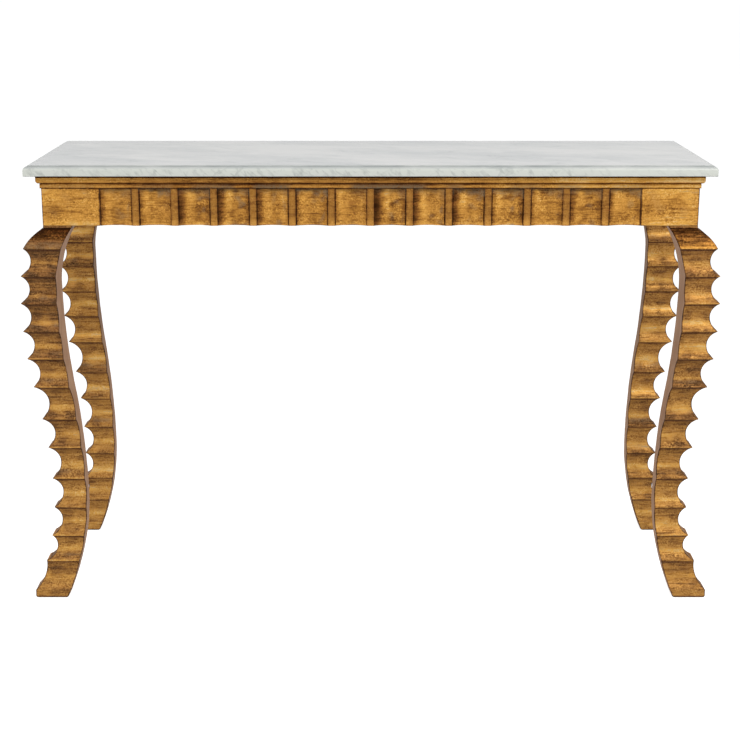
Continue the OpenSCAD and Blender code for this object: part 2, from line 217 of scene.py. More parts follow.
def axisOf(tree, vector, axis):
    return addNode(tree, "ShaderNodeSeparateXYZ", {0: vector}).outputs[axis]


def mark(tree, name):
    return addNode(tree, "ShaderNodeAttribute", attribute_name=name).outputs["Fac"]


def bumpOf(tree, height, strength, deepMm, normal=None):
    inputs = {"Height": height, "Strength": strength, "Distance": deepMm * mm}
    return addNode(tree, "ShaderNodeBump", dict(inputs, Normal=normal) if normal else inputs).outputs[0]


# Materials

# White Carrara marble, honed and polished: cool white with soft grey clouds and a few thin veins
marbleLook = dict(
    white="#D2D2D0", cloud="#B2B6B7", vein="#8B918F", edgeTintAndLight="#DCDFD7",
    cloudMm=300, beddingTurn=(0.3, -0.6, -0.45), beddingStretch=(2.4, 0.7, 1.0), bend=0.10, cloudShare=0.8,
    greyerEnd=0.07, halfLength=0.6, veinMm=120, veinWidth=0.020, veinShare=0.34,
    strokeMm=8, strokeTurn=(0.2, -0.85, 0.2), strokeStretch=(1, 1, 5), strokeShare=0.5,
    roughness=0.26, ior=1.5, specular=0.3)


def polishedMarble():
    look = marbleLook
    material, tree, place = startMaterial("carraraMarblePolished")
    # The bedding runs diagonally through the block, so the slab's edges show it too
    bedding = drawnOut(tree, place, look["beddingTurn"], look["beddingStretch"])
    warp = grain(tree, bedding, look["cloudMm"] / 2, 5.0, 0.6, output="Color")
    bent = addNode(tree, "ShaderNodeMix", {0: look["bend"], 4: bedding, 5: warp}, data_type="VECTOR").outputs[1]
    clouds = grain(tree, bent, look["cloudMm"], 8.0, 0.66)
    # The block is greyer towards its right end
    across = remap(tree, axisOf(tree, place, "X"), 0.0, look["halfLength"], toHigh=look["greyerEnd"])
    cloudMask = remap(tree, calc(tree, "ADD", clouds, across), 0.42, 0.60, toHigh=look["cloudShare"])
    colour = blend(tree, cloudMask, look["white"], look["cloud"])
    # Upright faces are greener and show the veins more, because their saw cut was only honed; their colour is also
    # lighter, as painted light that makes up for the lamps lighting them less than the top
    normal = addNode(tree, "ShaderNodeNewGeometry").outputs["True Normal"]
    upright = remap(tree, calc(tree, "ABSOLUTE", axisOf(tree, normal, "Z")), 0.3, 0.95, 1.0, 0.0)
    colour = blend(tree, upright, colour, look["edgeTintAndLight"])
    # Long faint veins lie in the clouds; short slanting ones show on the upright faces
    level = grain(tree, bent, look["veinMm"], 4.0, 0.55, 0.4)
    away = calc(tree, "ABSOLUTE", calc(tree, "SUBTRACT", level, 0.5))
    veins = remap(tree, away, 0.0, look["veinWidth"], look["veinShare"], 0.0)
    slanted = drawnOut(tree, place, look["strokeTurn"], look["strokeStretch"])
    strokes = grain(tree, slanted, look["strokeMm"], 4.0, 0.55, 0.4)
    strokes = remap(tree, strokes, 0.50, 0.74, toHigh=look["strokeShare"])
    faded = remap(tree, clouds, 0.3, 0.52)
    for lines, where in ((veins, cloudMask), (strokes, upright)):
        broken = calc(tree, "MULTIPLY", calc(tree, "MULTIPLY", lines, where), faded)
        colour = blend(tree, broken, colour, look["vein"])
    # Grey painted shade along the step under the arris and over the upper, lit part of the round
    colour = blend(tree, mark(tree, "shadeAndGrime"), colour, look["vein"])
    endMaterial(tree, {"Base Color": colour, "Roughness": look["roughness"], "IOR": look["ior"],
                       "Specular IOR Level": look["specular"]})
    return material


# Water gilding over red bole, toned with umber glaze and rubbed back: warm metal, streaked, mottled and worn.
# One tone value runs from the umber and painted shade in the hollows over bole and old leaf to bright leaf on what was
# rubbed and on painted highlights
giltLook = dict(
    ramp=((0.02, "#240C02"), (0.20, "#4F2F12"), (0.36, "#845528"), (0.50, "#AB7733"), (0.62, "#C78F43"),
          (0.76, "#E0A950"), (0.95, "#F2CC86")),
    dust="#847159", redBole="#74391F", sheen="#E0B070",
    streakMm=90, streakFlat=16, streakShare=0.44, fineMm=18, fineFlat=7, fineShare=0.42,
    patchMm=24, patchFlat=1.4, patchShare=0.2, speckMm=3.2, gritMm=38, gritFlat=1.6, gritShare=(0.22, 0.68),
    glazeFloor=-0.13, contrast=1.9, tone=0.535, rubbed=0.34, shadedAndGrimed=-0.55, boleShare=0.44, dustShare=0.9,
    metallic=0.45, roughness=0.38, dullBy=0.25, specular=0.18, lumpMm=1.3, lumpHigh=0.6, brushMm=0.4, brushHigh=0.45)


def antiqueGilding():
    look = giltLook
    material, tree, place = startMaterial("goldLeafRubbedAndToned")

    # The leaf was rubbed along the rails and across the legs, so every streak lies level
    def rubbedGrain(sizeMm, flat, detail, distortion):
        return grain(tree, scaled(tree, place, (1, 1, flat)), sizeMm, detail, 0.68, distortion)

    streak = rubbedGrain(look["streakMm"], look["streakFlat"], 7.0, 0.5)
    fine = rubbedGrain(look["fineMm"], look["fineFlat"], 5.0, 0.3)
    patch = rubbedGrain(look["patchMm"], look["patchFlat"], 7.0, 0.6)
    speck = rubbedGrain(look["speckMm"], 1.0, 3.0, 0.0)
    dust = mark(tree, "dust")

    # Noise values all centre on 0.5: their weighted sum less half its weights is the mottling
    mottle = -0.5 * (look["streakShare"] + look["fineShare"] + look["patchShare"])
    for part, share in ((streak, look["streakShare"]), (fine, look["fineShare"]), (patch, look["patchShare"])):
        mottle = sumOf(tree, mottle, part, share)
    # The grit shows in patches, and the leaf between them is smooth
    grit = remap(tree, rubbedGrain(look["gritMm"], look["gritFlat"], 2.0, 0.4), 0.42, 0.64, *look["gritShare"])
    mottle = calc(tree, "MULTIPLY_ADD", calc(tree, "SUBTRACT", speck, 0.5), grit, mottle)
    # The glaze was wiped, so no streak is quite as dark as the hollows are
    mottle = calc(tree, "SMOOTH_MAX", mottle, look["glazeFloor"], 0.06)
    # Some faces were rubbed smoother than others
    lively = sumOf(tree, look["contrast"], mark(tree, "calm"), -look["contrast"])
    tone = calc(tree, "MULTIPLY_ADD", mottle, lively, look["tone"])
    # The marks lighten the tone where the leaf was rubbed and where highlights are painted, and darken it with glaze
    # and painted shade
    tone = sumOf(tree, sumOf(tree, tone, mark(tree, "rubAndHighlight"), look["rubbed"]), mark(tree, "shadeAndGrime"), look["shadedAndGrimed"])
    ramp = addNode(tree, "ShaderNodeValToRGB", {0: tone})
    stops = ramp.color_ramp.elements
    while len(stops) < len(look["ramp"]):
        stops.new(0.5)
    for stop, (at, tint) in zip(stops, look["ramp"]):
        stop.position, stop.color = at, linearColour(tint)

    boleMask = remap(tree, calc(tree, "MULTIPLY", fine, streak), 0.27, 0.36, toHigh=look["boleShare"])
    boleMask = calc(tree, "MAXIMUM", boleMask, mark(tree, "bole"))
    # The film sits in the pores and the brush lines, so it never closes up
    pores = remap(tree, sumOf(tree, calc(tree, "MULTIPLY", speck, 0.7), fine, 0.3), 0.40, 0.56)
    film = sumOf(tree, calc(tree, "MULTIPLY", dust, pores), dust, 0.30)
    dustMask = remap(tree, film, 0.03, 1.25, toHigh=look["dustShare"])
    colour = blend(tree, boleMask, ramp.outputs[0], look["redBole"])
    colour = blend(tree, dustMask, colour, look["dust"])

    shine = remap(tree, tone, 0.25, 0.6, toHigh=look["metallic"])
    metal = calc(tree, "MULTIPLY", shine, calc(tree, "SUBTRACT", 1.0, dustMask))
    roughness = remap(tree, tone, 0.25, 0.8, look["roughness"] + look["dullBy"], look["roughness"])
    # Hand-laid gesso is lumpy under the leaf, and the brush left fine lines on it
    lump = bumpOf(tree, patch, look["lumpHigh"], look["lumpMm"])
    brush = bumpOf(tree, sumOf(tree, fine, speck, 0.4), look["brushHigh"], look["brushMm"], lump)
    endMaterial(tree, {"Base Color": colour, "Metallic": metal, "Roughness": roughness,
                       "Specular IOR Level": look["specular"], "Specular Tint": linearColour(look["sheen"]),
                       "Normal": brush})
    return material


# Umber and chalk wash, brushed on the faces that were not gilded: flat warm taupe with faint brush lines
washLook = dict(taupe="#9F7049", pale="#BC906C", dark="#3E2415", brushMm=9, brushLong=8, patchMm=70,
                roughness=0.62, specular=0.3, lineHigh=0.3, lineMm=0.2)


def brushedWash():
    look = washLook
    material, tree, place = startMaterial("umberWashBrushed")
    brush = grain(tree, scaled(tree, place, (1, 1, 1 / look["brushLong"])), look["brushMm"], 5.0, 0.6)
    patch = grain(tree, place, look["patchMm"], 2.0)
    tone = remap(tree, calc(tree, "ADD", brush, patch), 0.75, 1.3)
    colour = blend(tree, tone, look["taupe"], look["pale"])
    colour = blend(tree, mark(tree, "shadeAndGrime"), colour, look["dark"])
    endMaterial(tree, {"Base Color": colour, "Roughness": look["roughness"], "Specular IOR Level": look["specular"],
                       "Normal": bumpOf(tree, brush, look["lineHigh"], look["lineMm"])})
    return material


# Sawn timber for the pieces inside: stained poplar and plain beech, matt, with grain along the board
timberLook = dict(
    poplar=dict(name="poplarStainedAndPlaned", pale="#8A6B4A", dark="#6A4E34", grainMm=5),
    beech=dict(name="beechTurned", pale="#D2B088", dark="#B98F63", grainMm=3),
    grainLong=22, roughness=0.6, grainHigh=0.4, grainDeepMm=0.2)


def sawnTimber(kind, along):
    look, shared = timberLook[kind], timberLook
    material, tree, place = startMaterial(look["name"] + "Along" + along)
    board = scaled(tree, place, [1 / shared["grainLong"] if axis == along else 1 for axis in "XYZ"])
    lines = grain(tree, board, look["grainMm"], 5.0, 0.65, 0.4)
    band = grain(tree, board, look["grainMm"] * 5, 2.0)
    tone = remap(tree, calc(tree, "MULTIPLY", lines, band), 0.15, 0.4)
    endMaterial(tree, {"Base Color": blend(tree, tone, look["pale"], look["dark"]), "Roughness": shared["roughness"],
                       "Normal": bumpOf(tree, lines, shared["grainHigh"], shared["grainDeepMm"])})
    return material


# Zinc plated steel screws: cool grey metal with a faint blotchy passivation
steelLook = dict(bright="#C9CCD0", dull="#A9ABA6", spotMm=3, roughness=(0.25, 0.45))


def zincPlatedSteel():
    look = steelLook
    material, tree, place = startMaterial("steelZincPlated")
    spots = grain(tree, place, look["spotMm"], 3.0)
    endMaterial(tree, {"Base Color": blend(tree, spots, look["bright"], look["dull"]), "Metallic": 1.0,
                       "Roughness": remap(tree, spots, 0.0, 1.0, *look["roughness"])})
    return material


# Clear polyurethane bumpers, moulded: milky and soft, a little dusty
bumperLook = dict(milky="#D9DBD6", dusty="#BFC2BC", hazeMm=2, roughness=0.4, ior=1.5, clear=0.3)


def mouldedBumper():
    look = bumperLook
    material, tree, place = startMaterial("polyurethaneMoulded")
    haze = grain(tree, place, look["hazeMm"], 3.0)
    endMaterial(tree, {"Base Color": blend(tree, haze, look["milky"], look["dusty"]), "Roughness": look["roughness"],
                       "IOR": look["ior"], "Transmission Weight": look["clear"]})
    return material


marble = polishedMarble()
gilt = antiqueGilding()
wash = brushedWash()
poplarAlongX = sawnTimber("poplar", "X")
poplarAlongY = sawnTimber("poplar", "Y")
print("materials made")

# Marble slab, mm: an eased arris over a small step and a rounded edge, mitred at the corners. Its film and roll shade
# values are shares of painted shade on the step and the round
slabShape = dict(step=1.5, ledge=0.8, round=8, bevel=0.9, arris=0.5, arcSteps=8, pointsX=80, pointsY=24,
                 film=0.68, rollShade=0.75, rollFade=1.15)


def buildSlab():
    s = slabShape
    low, high = nodeBox("marble_top")
    shelf = high.z - s["step"]
    # Inset from the widest line, height, and how much painted shade it carries, from the underside up
    section = [(s["bevel"], low.z, 0.1), (0, low.z + s["bevel"], 0.0)]
    for i in range(s["arcSteps"] + 1):
        part = i / s["arcSteps"]
        a = math.pi / 2 * part
        section.append((s["round"] * (1 - math.cos(a)), shelf - s["round"] * (1 - math.sin(a)),
                        s["rollShade"] * part ** s["rollFade"]))
    inner = s["round"] + s["ledge"]
    section += [(inner - 0.15, shelf, s["film"]), (inner, shelf + 0.15, s["film"]),
                (inner, high.z - s["arris"], s["film"]),
                (inner + 0.3 * s["arris"], high.z - 0.3 * s["arris"], s["film"]),
                (inner + s["arris"], high.z, s["film"] * 0.6), (inner + 3, high.z, 0)]
    rings, film = [], []
    for inset, z, grey in section:
        corners = [(high.x - inset, low.y + inset), (high.x - inset, high.y - inset),
                   (low.x + inset, high.y - inset), (low.x + inset, low.y + inset)]
        ring = []
        for k, count in enumerate((s["pointsY"], s["pointsX"]) * 2):
            a, b = corners[k], corners[(k + 1) % 4]
            for i in range(count):
                spot = (a[0] + (b[0] - a[0]) * i / count, a[1] + (b[1] - a[1]) * i / count, z)
                ring.append(spot)
                film.append(grey * (0.5 + 0.8 * blotch(spot, 40, 21)))
        rings.append(ring)
    verts, faces = loft(rings)
    return makePiece("slab", ["marble_top"], verts, faces, [marble], marks={"shadeAndGrime": film}, sharpDeg=24)


buildSlab()
print("slab built")

# Moulded frame under the slab, mm: fascia, rounded underside and lower band, with soft gilded arrises
corniceShape = dict(band=9.8, ease=0.9, wander=0.6, stepX=5, fasciaOut=8.5, bandOut=2, depth=58.5, shadeTop=4.3,
                    shadeDeep=5.6, arcSteps=6)
# Its ends are brighter, the right one more than the left one
corniceWear = dict(rightEnd=0.6, leftEnd=0.3, brown=0.20, swell=(0.45, 0.9), rubAndHighlight=0.22, calm=0.3, redBole=0.22)


def corniceSection(height):
    c = corniceShape
    curve = c["fasciaOut"] - c["bandOut"]
    e = c["ease"]
    top = height - c["shadeTop"]
    low = height - c["shadeDeep"]
    # Distance back from the fascia's face, height over the frieze, then how dark it is painted and how rubbed it is.
    # The dark is painted shade in the groove, under the rounded underside, along the band's foot and under the slab's
    # overhang
    points = [(curve + 0.5, 0, 1.0, 0.0), (curve, 0.5, 0.9, 0.1), (curve, 1.6, 0.25, 0.3), (curve, 3.4, 0.0, 0.35),
              (curve, 5.6, 0.1, 0.2), (curve, c["band"] - 0.9, 0.55, 0.0), (curve + 0.9, c["band"] - 0.1, 1.1, 0.0),
              (curve - 0.2, c["band"] + 0.1, 1.2, 0.0)]
    for i in range(1, c["arcSteps"] + 1):
        part = i / c["arcSteps"]
        a = math.pi / 2 * part
        points.append((curve * (1 - math.sin(a)), c["band"] + curve * (1 - math.cos(a)), 1.2 * (1 - part) ** 3,
                       0.3 * part))
    points += [(0, low - 1.6, 0.08, 0.2), (0, low, 0.05, 0.25), (0, top - 0.6, 0.0, 0.3), (0, top, 0.12, 0.2),
               (0, top + 1.2, 1.0, 0.0), (0, height - e, 1.3, 0.0), (0.3 * e, height - 0.3 * e, 1.1, 0.0),
               (e, height, 1.1, 0.0)]
    back = c["depth"]
    inside = [(back / 2, height), (back - 0.6, height), (back, height - 0.6), (back, height / 2), (back, 0.6),
              (back - 0.6, 0), (back / 2, 0)]
    return points + [point + (0.5, 0) for point in inside], len(points)


# The profile runs along X for the front member, along Y for the side members
def buildCornice(name, node, side):
    w = corniceWear
    low, high = nodeBox(node)
    section, inside = corniceSection(high.z - low.z)
    steps = int((high - low)[1 if side else 0] / corniceShape["stepX"])
    rings, shadeAndGrime, rubAndHighlight, bole = [], [], [], []
    for i in range(steps + 1):
        t = i / steps
        ring = []
        for back, up, dark, worn in section:
            if side:
                p = (side * (abs(high.x if side > 0 else low.x) - back),
                     (low.y + back) * (1 - t) + high.y * t, low.z + up)
            else:
                p = ((low.x + back) * (1 - t) + (high.x - back) * t, low.y + back, low.z + up)
            ring.append(p)
            # The painted shade lines swell and thin out along the run, and long stretches are browner than others
            flat = (p[0], p[1], 0)
            swell = w["swell"][0] + w["swell"][1] * blotch(flat, 22, 3)
            ends = w["rightEnd"] * smoothStep(150, 480, p[0]) + w["leftEnd"] * smoothStep(-480, -600, p[0])
            brown = w["brown"] * smoothStep(0.35, 0.75, blotch(flat, 150, 4)) * (1 - 0.8 * ends)
            shadeAndGrime.append(clamp(dark * swell * (1 - 0.6 * ends) + brown, high=1.3))
            rubAndHighlight.append(clamp((0.6 * worn + ends * (1 - min(dark, 1))) * (0.6 + 0.6 * blotch(p, 60, 5)) + w["rubAndHighlight"]))
            bole.append(w["redBole"] * (1 - ends) + 0.04)
        rings.append(ring)
    verts, faces = loft(rings)

    def wander(p):
        ends = 1 if side else smoothStep(0, 25, high.x - abs(p.x))
        return corniceShape["wander"] * ends * (0.6 * blotch((p.x, p.y, 0), 60, 5) + 0.4 * blotch(p, 8, 6))

    # Dust lies on the lower band, thickest near the middle
    dust = [smoothStep(0.4, 0.7, blotch((v[0], v[1], 0), 60, 7)) * (1.1 - 0.8 * smoothStep(150, 480, abs(v[0])))
            * fall(7, 9, v[2] - low.z) for v in verts]
    marks = {"shadeAndGrime": shadeAndGrime, "rubAndHighlight": rubAndHighlight, "dust": dust, "bole": bole, "calm": [w["calm"]] * len(verts)}
    slots = [1 if inside <= i < len(section) - 1 else 0 for _ in range(steps) for i in range(len(section))]
    slots += [0, 1 if side else 0]
    return makePiece(name, [node], verts, faces, [gilt, wash], faceSlots=slots, marks=marks,
                     carve=wander, sharpDeg=38)


buildCornice("moulding_front", "cornice_front", 0)
buildCornice("moulding_right", "cornice_right", 1)
buildCornice("moulding_left", "cornice_left", -1)
print("moulded frame built")

# Coved frieze, mm: hollows side by side with narrow fillets left between them
friezeShape = dict(coveWidth=64, coveDeep=10, coveStep=1.5, arcSteps=20, edgeSteps=(0.02, 0.045, 0.07), rows=18,
                   ease=0.8, toolDeep=0.45)
# Strengths of painted shade, glaze, dust film, rubbing and painted highlights on it. In a pair the second is what a
# fixed pick may add for one cove
coveWear = dict(
    bandAt=(0.13, 0.24), leftLine=(0.75, 0.35), leftPaintedShade=(0.10, 0.66), rightPaintedShade=0.34, rightLine=(0.4, 0.7),
    spots=0.28, footLine=0.7, base=0.05, topFilm=(0.3, 0.8), spotFilm=0.6, wideHighlightAndRub=(0.34, 0.34), narrowHighlightAndRub=0.45,
    evenRub=0.22, footRub=0.55, filletGlaze=0.11, filletEdgeShade=0.36, filletFilm=0.12, filletCalm=0.5)


# Outline of a coved rail along X with its face on y = 0 and its back at y = thick; each point has its cove place
def covedOutline(length, thick, count):
    f = friezeShape
    fillet = (length - count * f["coveWidth"]) / (count - 1)
    sag = f["coveDeep"] - f["coveStep"]
    radius = (sag ** 2 + (f["coveWidth"] / 2) ** 2) / (2 * sag)
    edges = f["edgeSteps"]
    places = list(edges) + [0.1 + 0.8 * i / f["arcSteps"] for i in range(f["arcSteps"] + 1)]
    places += [1 - e for e in reversed(edges)]
    outline = []
    for k in range(count):
        start = -length / 2 + k * (f["coveWidth"] + fillet)
        if k:
            for j in (0.1, 0.35, 0.65, 0.9):
                outline.append((start - fillet + fillet * j, 0, -1 - j, k))
            outline.append((start - 0.4, 0, -2, k))
            outline.append((start, 0.4, 0, k))
        outline.append((start, f["coveStep"], 0, k))
        for u in places:
            x = (u - 0.5) * f["coveWidth"]
            depth = f["coveStep"] + math.sqrt(radius ** 2 - x ** 2) - (radius - sag)
            outline.append((start + f["coveWidth"] / 2 + x, depth, u, k))
        outline.append((start + f["coveWidth"], f["coveStep"], 1, k))
        if k < count - 1:
            outline.append((start + f["coveWidth"], 0.4, 1, k))
            outline.append((start + f["coveWidth"] + 0.4, 0, -1, k))
    backSteps = 4 * count
    outline += [(length / 2 - length * i / backSteps, thick, -3, 0) for i in range(backSteps + 1)]
    return outline


# Marks of one point of a cove: u runs from its left edge to its right one, share from its foot to its top
def coveMarks(p, u, share, seed):
    mine, other, third, fourth = (pick(seed + step) for step in (0.0, 0.3, 0.6, 0.9))

    def strength(name, chance):
        return coveWear[name][0] + coveWear[name][1] * chance

    w = coveWear
    drift = blotch((seed * 40, 0, p[2]), 20, 10)
    ragged = 0.6 + 0.8 * drift
    # Painted shade along each cove's left edge, where its wall turns from the light, fading towards the right, in some
    # coves further than in others; a lighter painted shade near the right edge, and a painted shadow under the band
    # along the top
    bandAt = strength("bandAt", mine)
    dark = max(
        strength("leftLine", third) * ragged * fall(0.018, 0.045 + 0.03 * mine, u),
        strength("leftPaintedShade", mine ** 1.4) * (0.7 + 0.6 * drift) * fall(0.03, bandAt, u),
        w["rightPaintedShade"] * other * smoothStep(0.76, 0.92, u) * ragged,
        strength("rightLine", fourth) * smoothStep(0.965, 0.985, u) * ragged,
        w["spots"] * smoothStep(0.55, 0.8, blotch((p[0], p[1], 1.8 * p[2]), 17, 11)) * (0.3 + other),
        smoothStep(0.968, 0.99, share + 0.012 * (1 - abs(2 * u - 1))),
        w["footLine"] * fall(0.0, 0.035, share) * drift,
        w["base"] * fall(0.4, 0.7, share))
    dusty = smoothStep(0.74, 1.0, share + 0.16 * (u - 0.4) + 0.2 * (blotch(p, 12, 12) - 0.5))
    spots = smoothStep(0.5, 0.85, blotch(p, 15, 13)) * smoothStep(0.3, 0.7, u) * fall(0.88, 0.96, u)
    film = max(dusty * strength("topFilm", third), w["spotFilm"] * spots * (0.2 + 1.1 * fourth))
    # Two bright bands, painted highlights where the hollow catches the lamps, with some rubbing: a wide one left of the
    # middle, a narrow one near the right edge
    wide = bell(u, bandAt + 0.05, 0.10 + 0.06 * third) * (0.6 + 0.4 * smoothStep(0.1, 0.9, share))
    narrow = bell(u, 0.68 + 0.16 * (1 - third), 0.09) * (1.1 - 0.7 * share)
    bright = max(strength("wideHighlightAndRub", fourth) * wide, w["narrowHighlightAndRub"] * (1 - other) * narrow,
                 w["evenRub"] * bell(u, 0.38, 0.16), w["footRub"] * fall(0.03, 0.16, share))
    upright = (p[0], p[1], 0.35 * p[2])
    return dark, clamp(bright * (0.35 + 0.9 * blotch(upright, 14, 14)) * (1 - 0.8 * film)), clamp(film)


def filletMarks(p, u, share):
    w = coveWear
    edge = min(-1 - u, 2 + u) if u > -2.5 else 1
    # The fillets' edges, where they step down into the coves, and their tops under the band's edge carry painted shade
    dark = w["filletGlaze"] + w["filletEdgeShade"] * fall(0.0, 0.16, edge) * (0.3 + blotch(p, 10, 15))
    bright = 0.5 * fall(0.02, 0.3, share) * (0.4 + blotch(p, 12, 16))
    return max(dark, 0.5 * smoothStep(0.965, 0.995, share)), clamp(bright), w["filletFilm"]


# turn: 0 for the front rail, 1 and -1 for the right and left ones
def buildFrieze(name, node, turn, count):
    f = friezeShape
    low, high = nodeBox(node)
    size = high - low
    length, thick = (size.y, size.x) if turn else (size.x, size.y)
    outline = covedOutline(length, thick, count)
    middle = (low + high) / 2
    heights = [0, 0.8, 2.2] + [2.2 + (size.z - 10.2) * i / f["rows"] for i in range(1, f["rows"] + 1)]
    heights += [size.z - back for back in (5.5, 3.6, 2.4, 1.2, 0)]
    rings, shadeAndGrime, rubAndHighlight, dust, calm = [], [], [], [], []
    for up in heights:
        inset = f["ease"] if up == 0 else 0
        ring = []
        for x, y, u, k in outline:
            y = y + inset if y < thick else y
            if turn:
                p = (turn * (max(abs(high.x), abs(low.x)) - y), middle.y + turn * x, low.z + up)
            else:
                p = (middle.x + x, low.y + y, low.z + up)
            ring.append(p)
            share = up / size.z
            dark, bright, film = coveMarks(p, u, share, k + 17.0 * turn) if u >= 0 else filletMarks(p, u, share)
            shadeAndGrime.append(clamp(dark, high=1.6))
            rubAndHighlight.append(bright)
            dust.append(film)
            # Glaze lies smooth where it is thick, and so does the painted shade
            calm.append(coveWear["filletCalm"] if u < 0 else clamp(0.05 + 0.75 * dark, high=0.6))
        rings.append(ring)
    verts, faces = loft(rings)

    def tool(p):
        return toolMarks(p, f["toolDeep"]) * smoothStep(0, 3, high.z - p.z)

    marks = {"shadeAndGrime": shadeAndGrime, "rubAndHighlight": rubAndHighlight, "dust": dust, "calm": calm}
    slots = [1 if point[2] == -3 else 0 for point in outline] * (len(rings) - 1) + [0, 0]
    return makePiece(name, [node], verts, faces, [gilt, poplarAlongY if turn else poplarAlongX],
                     faceSlots=slots, marks=marks, carve=tool, sharpDeg=36)


buildFrieze("coves_front", "frieze_front", 0, 14)
buildFrieze("coves_right", "frieze_right", 1, 3)
buildFrieze("coves_left", "frieze_left", -1, 3)
print("frieze built")

# Corner blocks, mm: square, with arrises eased by rubbing. The left one is painted darker and the right one lighter:
# painted shade, the right side being lit more
blockShape = dict(ease=0.9, rim=1.8, columns=18, rows=14, foot=0.7, toolDeep=0.5)
blockAgeAndShade = {"front_left": 0.06, "front_right": -0.07, "back_left": 0, "back_right": 0}
blockWear = dict(edge=0.75, foot=0.7, patches=0.14, top=0.9, rubAndHighlight=0.55, footRub=0.35, footDust=0.8, dust=0.2)


def buildBlock(name, node, ageAndShade, isRear):
    b, w = blockShape, blockWear
    low, high = nodeBox(node)
    height = high.z - low.z
    heights = [0, 0.7, 2.2] + [2.2 + (height - 4.6) * i / b["rows"] for i in range(1, b["rows"] + 1)]
    heights += [height - 1.0, height]
    rings, shadeAndGrime, rubAndHighlight, dust = [], [], [], []
    for up in heights:
        inset = b["foot"] if up == 0 else 0
        share = up / height
        bottom = fall(0.0, 0.035, share)
        ring = boxRing(low.x + inset, high.x - inset, low.y + inset, high.y - inset, low.z + up, b["ease"], b["rim"],
                       b["columns"], b["columns"])
        for p in ring:
            edgeX, edgeY = min(p[0] - low.x, high.x - p[0]), min(p[1] - low.y, high.y - p[1])
            edge = max(edgeX, edgeY) if min(edgeX, edgeY) < 0.5 else 99
            near = fall(0.6, 2.4, edge)
            dark = w["edge"] * near * (0.3 + blotch(p, 14, 23)) + w["foot"] * bottom * blotch(p, 9, 24)
            dark += w["patches"] * smoothStep(0.5, 0.8, blotch(p, 32, 22))
            dark += w["top"] * smoothStep(0.975, 1.0, share) * (0.4 + blotch(p, 12, 25))
            shadeAndGrime.append(clamp(dark + ageAndShade, low=-0.1))
            rubAndHighlight.append(clamp(w["rubAndHighlight"] * blotch(p, 45, 16) + w["footRub"] * fall(0.05, 0.2, share) * (1 - near)))
            dust.append(clamp(w["footDust"] * bottom * (0.3 + blotch(p, 12, 26))
                              + w["dust"] * smoothStep(0.6, 0.85, blotch(p, 28, 17))))
        rings.append(ring)
    verts, faces = loft(rings)
    marks = {"shadeAndGrime": shadeAndGrime, "rubAndHighlight": rubAndHighlight, "dust": dust}
    # Faces at the wall and inside the frame have the wash, as the backs of the legs have
    along = b["columns"] + 4
    gilded = {0 if high.x > 0 else 2} | (set() if isRear else {3})
    slots = [0 if ((i + 1) // along) % 4 in gilded else 1 for _ in range(len(rings) - 1) for i in range(len(rings[0]))]
    return makePiece(name, [node], verts, faces, [gilt, wash], faceSlots=slots + [0, 0], marks=marks,
                     carve=lambda p: toolMarks(p, b["toolDeep"]), sharpDeg=40)


for corner, ageAndShade in blockAgeAndShade.items():
    buildBlock("corner_" + corner, "block_" + corner, ageAndShade, corner.startswith("back"))
print("corner blocks built")

# Legs, mm: the same sweeps as the part's source. Each line holds its reach beyond the corner at the top, knee,
# ankle and foot, and then the heights of its top, knee and foot
legShape = dict(
    outer=(37.5, 47, 7, 50.5, 748, 635, 18), inner=(-60, -25.5, -60.5, -17.5, 790, 670, 0),
    rearInner=(-67, -32, -60.5, -17.5, 790, 670, 0), fore=(25, 31, 4, 34, 748, 635, 18),
    aft=(-53, -40, -36, -6, 790, 635, 0), rear=(0, 0, 0, 0, 748, 635, 18),
    ankleZ=215, toeZ=18, topZ=790, collarH=5, collarLip=0.8, rearThick=40,
    ridges=(748, 693, 637, 579, 521, 460, 389, 326, 257, 193, 132, 79),
    landX=1.2, landY=2.0, scallopX=0.285, scallopY=0.18, toeScoop=0.12, shoulderBulge=0.085,
    ease=1.1, rim=1.8, arcSteps=20, columnsX=14, columnsY=10, toolDeep=0.8,
    footTuck=((0, 4.6), (0.7, 3.0), (1.8, 1.7), (3.4, 0.7), (5.5, 0)))
# How aged the gilding of each leg is at its top, with painted shade in it, heavier on the front left leg than on the
# front right one, which was lit more; and the share of its glaze and painted shade that its shoulder kept
legAgeAndShade = {(-1, False): (0.24, 1.0), (1, False): (0.16, 0.8), (-1, True): (-0.02, 1.0), (1, True): (-0.01, 1.0)}
# Strengths of glaze and painted shade, rubbing and painted highlights, dust film and bole on the legs
legWear = dict(
    ridgeLine=0.66, upperShadeAndGlaze=0.12, lowerGlaze=0.2, stains=0.18, smoke=0.20, kept=0.2, band=0.95, crest=0.8,
    smokeFilm=0.8, evenFilm=0.3, lineBole=0.4, outerFace=0.22, innerArris=0.95, outerArris=0.7, backArris=0.5)


def arcOut(sway, run, rise):
    if abs(sway) < 0.05:
        return 0.0
    radius = (sway ** 2 + run ** 2) / (2 * abs(sway))
    return math.copysign(radius - math.sqrt(max(radius ** 2 - rise ** 2, 0)), sway)


# Reach of a sweep line at height z
def reach(line, z):
    top, knee, ankle, foot, topZ, kneeZ, footZ = line
    ankleZ = legShape["ankleZ"]
    middle = (kneeZ + ankleZ) / 2
    if z >= kneeZ:
        return knee - arcOut(knee - top, topZ - kneeZ, z - kneeZ)
    if z >= middle:
        return knee - arcOut((knee - ankle) / 2, kneeZ - middle, kneeZ - z)
    if z >= ankleZ:
        return ankle + arcOut((knee - ankle) / 2, middle - ankleZ, z - ankleZ)
    return ankle + arcOut(foot - ankle, ankleZ - footZ, ankleZ - z)


